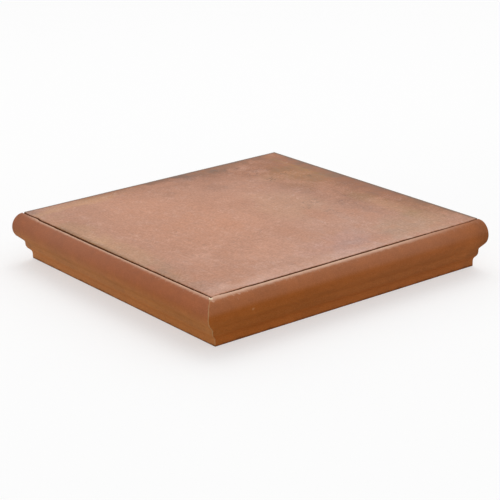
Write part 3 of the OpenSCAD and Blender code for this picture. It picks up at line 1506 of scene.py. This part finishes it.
@dataclass
class TreadTile:
    """The flat tile, as a closed slab with eased top edges.

    Attributes:
        low: Lowest corner of the tile, in metres.
        high: Highest corner of the tile.
        front: Line of the joint along its front edge.
        left: Line of the joint along its left edge.
        ease: Rounding of its top edges beside the joints.
        back_ease: Rounding of its two back edges.
        spacing: Distance between the lines of its grid.
        give: Width over which the face takes up a joint's wander.
        dip: Depth of the slow waves of its face.
        rows: Number of rows down each side.
    """

    low: Point3
    high: Point3
    front: JointLine
    left: JointLine
    ease: float = 1.2 * MM
    back_ease: float = 0.3 * MM
    spacing: float = 2.0 * MM
    give: float = 8.0 * MM
    dip: float = 0.12 * MM
    rows: int = 8

    def build(self, skin: Material, cut: Material) -> bpy.types.Object:
        """Makes the tile and hands it to the frame.

        Args:
            skin: Finish of its top.
            cut: Finish of its sides and underside.

        Returns:
            The finished piece.
        """
        xs = self._stations(self.low[0], self.high[0])
        ys = self._stations(self.low[1], self.high[1])
        mesh = self._slab(xs, ys)
        mesh.materials.append(skin)
        mesh.materials.append(cut)
        tidy_mesh(mesh)
        top = self.high[2] - self.ease * 1.01 - self.dip
        for face in mesh.polygons:
            face.material_index = 0 if face.center.z > top else 1
        return hand_over(mesh, "tread_tile")

    def _stations(self, low: float, high: float) -> np.ndarray:
        """Grid lines from one edge to the other, close together at the edges.

        Args:
            low: Place of the first edge.
            high: Place of the second edge.

        Returns:
            The places of the lines.
        """
        angles = np.radians(np.linspace(0, 90, 6))
        edge = self.ease * (1 - np.cos(angles))
        edge = np.concatenate([edge, self.ease + np.array([0.5, 1.2]) * MM])
        back = self.back_ease * (1 - np.cos(angles))
        inside = np.linspace(low + edge[-1], high - self.ease, max(2, round((high - low) / self.spacing)))
        return np.concatenate([low + edge[:-1], inside, high - back[::-1]])

    def _follow_joints(self, points: np.ndarray) -> np.ndarray:
        """Moves the edges beside the nosings with the joints' lines.

        Args:
            points: The slab's points.

        Returns:
            The moved points.
        """
        near_left = np.clip(1 - (points[:, 0] - self.low[0]) / self.give, 0, 1)
        near_front = np.clip(1 - (points[:, 1] - self.low[1]) / self.give, 0, 1)
        moved = points.copy()
        moved[:, 0] += near_left * self.left.tile_shift(points[:, 1])
        moved[:, 1] += near_front * self.front.tile_shift(points[:, 0])
        return moved

    def _dips(self, grid_x: np.ndarray, grid_y: np.ndarray) -> np.ndarray:
        """Depth of the face's slow waves, which die out towards the back edges.

        Args:
            grid_x: Places in X.
            grid_y: Places in Y.

        Returns:
            The depths, in metres.
        """
        waves = np.sin(grid_x / (17 * MM) + 1.3) + np.sin(grid_x / (9 * MM) + grid_y / (60 * MM))
        waves = waves + np.sin(grid_y / (26 * MM) + 0.4) + np.sin((grid_x + grid_y) / (38 * MM))
        return self.dip * (0.5 + waves / 8)

    def _fall(self, place: np.ndarray, low: float, high: float) -> np.ndarray:
        """Drop of the rounded edges at each grid line.

        Args:
            place: Places of the grid lines.
            low: Place of the edge beside the nosing.
            high: Place of the back edge.

        Returns:
            The drops, in metres.
        """
        drop = np.zeros_like(place)
        for ease, gap in ((self.ease, place - low), (self.back_ease, high - place)):
            lack = np.clip(ease - gap, 0, ease)
            drop = np.maximum(drop, ease - np.sqrt(ease**2 - lack**2))
        return drop

    def _slab(self, xs: np.ndarray, ys: np.ndarray) -> bpy.types.Mesh:
        """Builds the closed slab from its grid lines.

        Args:
            xs: Places of the grid lines in X.
            ys: Places of the grid lines in Y.

        Returns:
            The slab's mesh.
        """
        nx, ny = len(xs), len(ys)
        fall_x = self._fall(xs, self.low[0], self.high[0])
        fall_y = self._fall(ys, self.low[1], self.high[1])
        fall = np.maximum(fall_x[:, None], fall_y[None, :])
        grid_x, grid_y = np.meshgrid(xs, ys, indexing="ij")
        face = self.high[2] - fall - self._dips(grid_x, grid_y)
        top = self._follow_joints(np.stack([grid_x, grid_y, face], axis=-1).reshape(-1, 3))
        base = np.full_like(grid_x, self.low[2])
        bottom = self._follow_joints(np.stack([grid_x, grid_y, base], axis=-1).reshape(-1, 3))

        def at(i: int, j: int) -> int:
            """Number of a grid point."""
            return i * ny + j

        squares = [(i, j) for i in range(nx - 1) for j in range(ny - 1)]
        quads = [(at(i, j), at(i + 1, j), at(i + 1, j + 1), at(i, j + 1)) for i, j in squares]
        under = [tuple(nx * ny + k for k in reversed(quad)) for quad in quads]
        rim = [at(i, 0) for i in range(nx)] + [at(nx - 1, j) for j in range(1, ny)]
        rim += [at(i, ny - 1) for i in range(nx - 2, -1, -1)] + [at(0, j) for j in range(ny - 2, 0, -1)]
        count = len(rim)
        levels = [rim]
        vertices = [*map(tuple, top), *map(tuple, bottom)]
        for row in range(1, self.rows):
            share = row / self.rows
            levels.append(list(range(len(vertices), len(vertices) + count)))
            for k in rim:
                vertices.append(tuple(top[k] * (1 - share) + bottom[k] * share))
        levels.append([nx * ny + k for k in rim])
        sides = [
            (upper[k], lower[k], lower[(k + 1) % count], upper[(k + 1) % count])
            for upper, lower in zip(levels, levels[1:])
            for k in range(count)
        ]
        mesh = bpy.data.meshes.new("tread_tile_looks")
        mesh.from_pydata(vertices, [], quads + under + sides)
        to_joint = np.zeros(len(vertices))
        to_joint[: nx * ny] = np.minimum(grid_x - self.low[0], grid_y - self.low[1]).ravel()
        carry(mesh, "to_joint", to_joint)
        return mesh


# ---------------------------------------------------------------------------
# Studio
# ---------------------------------------------------------------------------


@dataclass(frozen=True)
class Panel:
    """A soft panel that faces the tread.

    Attributes:
        name: The lamp's name.
        place: Its centre, in metres.
        size: Its width and height.
        power: Its power in watts.
    """

    name: str
    place: Point3
    size: Point2
    power: float

    def hang(self) -> None:
        """Adds the lamp to the scene."""
        light = bpy.data.lights.new(self.name, "AREA")
        light.shape = "RECTANGLE"
        light.size, light.size_y = self.size
        light.energy = self.power
        lamp = bpy.data.objects.new(self.name, light)
        lamp.location = self.place
        lamp.rotation_euler = (-Vector(self.place)).to_track_quat("-Z", "Y").to_euler()
        bpy.context.scene.collection.objects.link(lamp)


@dataclass(frozen=True)
class Studio:
    """Plain pale floor, soft surround, soft panels and the camera.

    Attributes:
        azimuth: Camera's turn round the tread, in degrees.
        elevation: Camera's height over the tread, in degrees.
        roll: Camera's tilt, in degrees.
        distance: From the camera to its target, in metres.
        target: What the camera looks at.
        lens: Focal length on a 36 mm frame.
        low_sky: Strength of the surround at the horizon.
        high_sky: What it gains up to the zenith.
        back_sky: What it gains behind the tread.
        back_way: Direction from the tread to there.
        left_shade: What it loses half way up on the tread's left.
        floor_span: Width of the floor, in metres.
        floor_shown: Colour of the floor as it is seen.
        floor_glow: How much of the floor's shown white doesn't depend on the light.
        floor_bounce: Colour of the light that it gives back.
        panels: The soft panels.
    """

    azimuth: float = -36.776
    elevation: float = 19.202
    roll: float = -1.742
    distance: float = 1.534
    target: Point3 = (-0.05307, -0.07684, 0.05)
    lens: float = 120.783
    low_sky: float = 0.34
    high_sky: float = 0.72
    back_sky: float = 0.60
    back_way: Point3 = (0.6, 0.8, 0.0)
    left_shade: float = 0.42
    floor_span: float = 14.0
    floor_shown: Colour = (0.47, 0.47, 0.47)
    floor_glow: float = 0.53
    floor_bounce: Colour = (0.85, 0.85, 0.85)
    panels: tuple[Panel, ...] = (
        Panel("key_panel", (0.5, 0.5, 2.6), (2.2, 2.2), 15.0),
        Panel("left_fill", (-6.0, 0.0, 0.6), (6.75, 1.05), 112.0),
        Panel("front_fill", (1.1, -6.0, 0.6), (6.75, 1.05), 34.5),
    )

    def build(self) -> None:
        """Adds the floor, the light and the camera."""
        self._floor()
        self._surround()
        for panel in self.panels:
            panel.hang()
        self._camera()

    def _floor(self) -> None:
        """Lays the floor, seen pale but giving back a modest bounce."""
        bpy.ops.mesh.primitive_plane_add(size=self.floor_span)
        floor = bpy.context.object
        floor.name = "studio_floor"
        graph, shader, material = new_surface("floor paint", 0.0)
        shader.inputs["Roughness"].default_value = 1.0
        seen = self._seen(graph)
        graph.feed(shader.inputs["Base Color"], graph.mix(seen, self.floor_bounce, self.floor_shown))
        shader.inputs["Emission Strength"].default_value = self.floor_glow
        graph.feed(shader.inputs["Emission Color"], graph.mix(seen, BLACK, WHITE))
        floor.data.materials.append(material)

    @staticmethod
    def _seen(graph: Graph) -> Signal:
        """Tells what is seen, straight or mirrored or through glass, from what only lights.

        Args:
            graph: The graph to add to.

        Returns:
            1 for what is seen and 0 for what only lights.
        """
        rays = ("Is Camera Ray", "Is Glossy Ray", "Is Transmission Ray")
        camera, mirrored, through = (graph.out("ShaderNodeLightPath", pick=ray) for ray in rays)
        return graph.math("MAXIMUM", graph.math("MAXIMUM", camera, mirrored), through)

    def _surround(self) -> None:
        """Lights the scene from all round, more from above and from behind."""
        world = bpy.data.worlds.new("soft surround")
        world.use_nodes = True
        graph = Graph(world.node_tree)
        view = graph.out("ShaderNodeTexCoord", pick="Generated")
        side, _, up = graph.split(view)
        rise = graph.math("MAXIMUM", up, 0.0)
        behind = graph.math("MAXIMUM", graph.vector("DOT_PRODUCT", view, self.back_way), 0.0)
        left = graph.math("MAXIMUM", side * -2.0, 0.0)
        level = graph.shift(self.low_sky, rise, self.high_sky)
        level = graph.shift(level, graph.math("POWER", behind, 3.0), self.back_sky)
        level = graph.shift(level, left * rise, -self.left_shade)
        background = world.node_tree.nodes["Background"]
        graph.feed(background.inputs["Color"], WHITE)
        graph.feed(background.inputs["Strength"], graph.blend(self._seen(graph), level, 1.0))
        bpy.context.scene.world = world

    def _camera(self) -> None:
        """Sets the camera up round its target."""
        turn, rise, tilt = (math.radians(angle) for angle in (self.azimuth, self.elevation, self.roll))
        back = Vector((math.sin(turn) * math.cos(rise), -math.cos(turn) * math.cos(rise), math.sin(rise)))
        side = Vector((math.cos(turn), math.sin(turn), 0.0))
        up = back.cross(side)
        right = side * math.cos(tilt) + up * math.sin(tilt)
        over = up * math.cos(tilt) - side * math.sin(tilt)
        data = bpy.data.cameras.new("studio_camera")
        data.lens = self.lens
        camera = bpy.data.objects.new("studio_camera", data)
        place = Vector(self.target) + back * self.distance
        turned = Matrix((right, over, back)).transposed().to_4x4()
        camera.matrix_world = Matrix.Translation(place) @ turned
        bpy.context.scene.collection.objects.link(camera)
        bpy.context.scene.camera = camera


FLASHES_AND_REFLECTIONS = (
    # Warm field left of the middle, and its strongest spots
    FlashAndReflectionPatch((-45, 30), (110, 165), tone=0.15),
    FlashAndReflectionPatch((-60, 112), (45, 50), tone=0.07),
    FlashAndReflectionPatch((-20, 0), (38, 45), tone=0.07),
    FlashAndReflectionPatch((35, 60), (40, 35), tone=0.05),
    FlashAndReflectionPatch((-85, -138), (60, 12), tone=0.10),
    # Stronger painted reflection towards the front
    FlashAndReflectionPatch((-10, -165), (210, 175), haze=0.045, ragged=0.3, core=0.0),
    FlashAndReflectionPatch((-20, -144), (150, 16), haze=0.035),
    FlashAndReflectionPatch((-35, -154), (110, 12), haze=0.06, ragged=0.3),
    FlashAndReflectionPatch((98, -153), (40, 11), haze=0.05, ragged=0.3),
    # Fine crazing
    FlashAndReflectionPatch((110, 105), (60, 65), tone=0.04, haze=-0.012, craze=0.38),
    FlashAndReflectionPatch((-60, -40), (90, 100), tone=0.01, craze=0.18),
    FlashAndReflectionPatch((86, -14), (48, 66), tone=0.006, craze=0.28),
    # Darker right side with less painted reflection, its rim and the spots in it
    FlashAndReflectionPatch((172, 40), (84, 210), tone=-0.10, haze=-0.09, ragged=0.4, core=0.1),
    FlashAndReflectionPatch((172, 20), (26, 230), tone=-0.24, haze=-0.05, ragged=0.3),
    FlashAndReflectionPatch((115, -30), (30, 60), tone=-0.08, haze=-0.015),
    FlashAndReflectionPatch((166, -10), (30, 190), tone=-0.11, haze=-0.035, ragged=0.4),
    FlashAndReflectionPatch((157, 75), (12, 95), tone=-0.04, haze=-0.065, ragged=0.3, core=0.4),
    FlashAndReflectionPatch((126, 122), (42, 42), tone=-0.10, haze=-0.034),
    FlashAndReflectionPatch((101, 42), (22, 28), tone=-0.06, haze=-0.012, ragged=0.4),
    FlashAndReflectionPatch((148, 128), (62, 50), tone=-0.13, haze=-0.055, ragged=0.4, core=0.25),
    FlashAndReflectionPatch((110, 12), (26, 38), tone=-0.08, haze=-0.02, ragged=0.3),
    FlashAndReflectionPatch((160, -100), (42, 85), tone=-0.03, haze=-0.012, olive=0.006),
    FlashAndReflectionPatch((128, 92), (38, 55), tone=-0.04, haze=-0.02, olive=0.006),
    FlashAndReflectionPatch((163, 75), (15, 70), haze=-0.045, ragged=0.3),
    FlashAndReflectionPatch((145, 5), (18, 54), tone=-0.09, haze=-0.01, ragged=0.3),
    FlashAndReflectionPatch((116, 80), (26, 85), tone=-0.07, haze=-0.015, ragged=0.4),
    FlashAndReflectionPatch((95, 72), (26, 26), tone=-0.06, haze=-0.02),
    FlashAndReflectionPatch((163, -36), (18, 30), tone=-0.05, haze=-0.02, ragged=0.3),
    FlashAndReflectionPatch((163, 88), (10, 62), tone=0.05, haze=-0.11, ragged=0.3),
    FlashAndReflectionPatch((151, 22), (18, 30), tone=-0.14, haze=-0.03, ragged=0.3),
    FlashAndReflectionPatch((99, 92), (17, 20), tone=0.09, haze=0.028, ragged=0.4),
    FlashAndReflectionPatch((152, -42), (16, 28), tone=-0.05, haze=-0.012),
    # Stains along the back, with less painted reflection over them, and the lighter strip between them
    FlashAndReflectionPatch((75, 170), (120, 34), tone=-0.22, haze=-0.062, ragged=0.4),
    FlashAndReflectionPatch((10, 168), (190, 14), tone=-0.06, haze=-0.085, ragged=0.4),
    FlashAndReflectionPatch((70, 122), (75, 30), tone=-0.05, haze=-0.03),
    FlashAndReflectionPatch((70, 178), (190, 75), tone=-0.03, haze=-0.05, ragged=0.3, core=0.0),
    FlashAndReflectionPatch((-2, 166), (60, 16), tone=-0.17, haze=-0.02),
    FlashAndReflectionPatch((26, 149), (26, 14), tone=-0.15),
    FlashAndReflectionPatch((-150, 160), (24, 13), tone=-0.36),
    FlashAndReflectionPatch((-92, 149), (62, 9), tone=0.10, haze=0.01),
    FlashAndReflectionPatch((125, 166), (70, 13), tone=-0.12, haze=-0.06, ragged=0.3),
    FlashAndReflectionPatch((-45, 162), (75, 20), tone=-0.09, haze=-0.02, olive=0.004),
    FlashAndReflectionPatch((85, 154), (70, 16), tone=-0.10, haze=-0.01, olive=0.004),
    FlashAndReflectionPatch((-20, 140), (52, 42), tone=-0.04, haze=-0.016),
    FlashAndReflectionPatch((60, 143), (58, 14), tone=-0.13, haze=-0.016),
    FlashAndReflectionPatch((104, 129), (28, 18), tone=-0.13, haze=-0.04),
    FlashAndReflectionPatch((12, 134), (24, 22), tone=-0.09, haze=-0.015),
    FlashAndReflectionPatch((90, 119), (22, 22), tone=-0.05, haze=-0.02, ragged=0.3),
    FlashAndReflectionPatch((153, 155), (30, 22), tone=-0.04, haze=-0.055),
    FlashAndReflectionPatch((-8, 115), (16, 15), tone=-0.12, haze=-0.025),
    FlashAndReflectionPatch((42, 102), (26, 17), tone=-0.10, haze=-0.02),
    # Casts towards olive
    FlashAndReflectionPatch((147, 120), (5, 70), tone=0.06, olive=0.012, ragged=0.3),
    FlashAndReflectionPatch((130, 80), (42, 85), tone=0.03, haze=-0.006, olive=0.008),
    FlashAndReflectionPatch((130, -45), (16, 70), haze=0.004, olive=0.012),
    FlashAndReflectionPatch((-148, 80), (26, 75), tone=0.04, haze=0.012, olive=0.014),
    FlashAndReflectionPatch((-146, -5), (24, 62), haze=0.006, olive=0.014),
    FlashAndReflectionPatch((-146, -85), (20, 50), olive=0.010),
    FlashAndReflectionPatch((-100, 151), (62, 13), tone=0.02, olive=0.016),
    FlashAndReflectionPatch((105, -125), (62, 42), tone=-0.03, haze=0.004, olive=0.012),
    FlashAndReflectionPatch((55, 5), (45, 60), tone=0.02, haze=0.012, olive=0.008),
    # Small spots in the middle and towards the front
    FlashAndReflectionPatch((25, -118), (58, 34), tone=-0.03, haze=0.012, olive=-0.008),
    FlashAndReflectionPatch((-102, -73), (24, 26), tone=0.06, haze=0.035),
    FlashAndReflectionPatch((-57, -132), (28, 13), tone=-0.05, haze=-0.02),
    FlashAndReflectionPatch((59, -60), (34, 28), tone=0.02, haze=0.018),
    FlashAndReflectionPatch((-55, -57), (34, 30), tone=0.03, haze=0.018),
    # Spots down the left edge and along the front
    FlashAndReflectionPatch((-140, 95), (26, 40), tone=-0.09, haze=-0.02),
    FlashAndReflectionPatch((-152, 50), (6, 125), tone=-0.26, haze=-0.04, ragged=0.2, core=0.4),
    FlashAndReflectionPatch((-154, -95), (30, 60), tone=-0.25),
    FlashAndReflectionPatch((-45, -88), (45, 42), tone=0.08),
    FlashAndReflectionPatch((-132, -143), (40, 16), haze=0.05),
    FlashAndReflectionPatch((102, -144), (28, 12), tone=-0.03, haze=0.035),
    FlashAndReflectionPatch((160, -142), (34, 30), tone=-0.14),
    FlashAndReflectionPatch((22, -122), (32, 14), tone=-0.12),
    FlashAndReflectionPatch((70, -128), (45, 16), tone=-0.10),
    FlashAndReflectionPatch((105, -105), (28, 18), tone=-0.06),
)

DRAG_MARKS = (
    DragMark(x=-85, start=-90, end=50),
    DragMark(x=-74, start=-40, end=20, tone=-0.06),
)

FRONT_JOINT = JointLine(
    places=(-152, -138, -121, -114, -107, -75, 0, 60, 90, 125, 150, 165),
    nosing=(2.6, 1.5, 0.8, 1.4, 0.7, 0.3, 0.6, 0.9, 1.1, 1.1, 1.2, 2.1),
    tile=(0.2, 0.7, 1.0, 1.4, 1.1, 1.0, 1.3, 1.4, 1.1, 0.5, 0.2, 1.1),
    seed=1.0,
)
LEFT_JOINT = JointLine(
    places=(-152, -145, -130, -100, -55, -18, 30, 90, 131, 137, 150, 165),
    nosing=(1.6, 0.6, 0.2, -0.1, -0.3, -0.7, -1.1, -0.8, -0.4, 1.1, 0.55, 0.8),
    tile=(0.2, 0.1, 0.0, -0.2, -0.3, -0.7, -0.6, -0.4, -0.3, 0.7, -0.1, 0.2),
    seed=5.0,
)

SEAM_CHIP = Chip((-153.3, -153.3, 49.9), size=2.2, tint=(0.85, 0.70, 0.50))
FACE_CHIP = Chip((-117.0, -165.0, 34.5), size=1.7, share=0.3)


def main() -> None:
    """Builds the pieces in order, then the studio."""
    logging.basicConfig(level=logging.INFO, format="%(name)s: %(message)s")
    effects = ClayEffects()
    cut = BareClay().build(effects)
    tile_low, tile_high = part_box("tread_tile")
    tile = TreadTile(tuple(tile_low), tuple(tile_high), FRONT_JOINT, LEFT_JOINT)
    tile.build(TreadSkin(patches=FLASHES_AND_REFLECTIONS, marks=DRAG_MARKS).build(effects), cut)

    strip_low, strip_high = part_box("nosing_front")
    near, far = strip_low[0], strip_high[0]
    section = MouldingSection(
        height=TOP,
        depth=strip_high[1] - strip_low[1],
        ledge=tile_low[2],
        joint_in=tile_low[1] - strip_low[1] - JOINT_GAP,
    )
    sweeper = SweptStrip()
    front_skin = NosingSkin(Run.ALONG_X, chips=(SEAM_CHIP, FACE_CHIP), seed=3.0).build(effects)
    left_skin = NosingSkin(
        Run.ALONG_Y,
        clay=(0.286, 0.072, 0.0115),
        low_clay=(0.372, 0.135, 0.027),
        clay_turns=(14.0, 34.0),
        shades=(PaintedShading(25.0, 9.0, -0.05), BAND_PAINTED_SHADE, SPLAY_PAINTED_LIGHT),
        foot_gain=0.18,
        foot_from=(46.0, 51.0),
        dust=0.028,
        far_dust=0.048,
        film=0.0,
        wear=replace(ARRIS_WEAR_AND_HIGHLIGHT, width=3.7, core=0.1),
        wear_fades=290.0,
        end_soil=0.12,
        scuffs=10.0,
        chips=(SEAM_CHIP,),
        seed=8.0,
    ).build(effects)
    front = NosingStrip(
        "nosing_front", Run.ALONG_X, section, FRONT_JOINT, near, far, seed=3.0, wander=MITRE_WANDER
    )
    left = NosingStrip(
        "nosing_left", Run.ALONG_Y, section, LEFT_JOINT, near, far, seed=8.0, wander=-MITRE_WANDER
    )
    front.build(sweeper, front_skin, cut)
    left.build(sweeper, left_skin, cut)

    Studio().build()
    bpy.context.scene.view_settings.view_transform = "Standard"


if __name__ == "__main__":
    main()
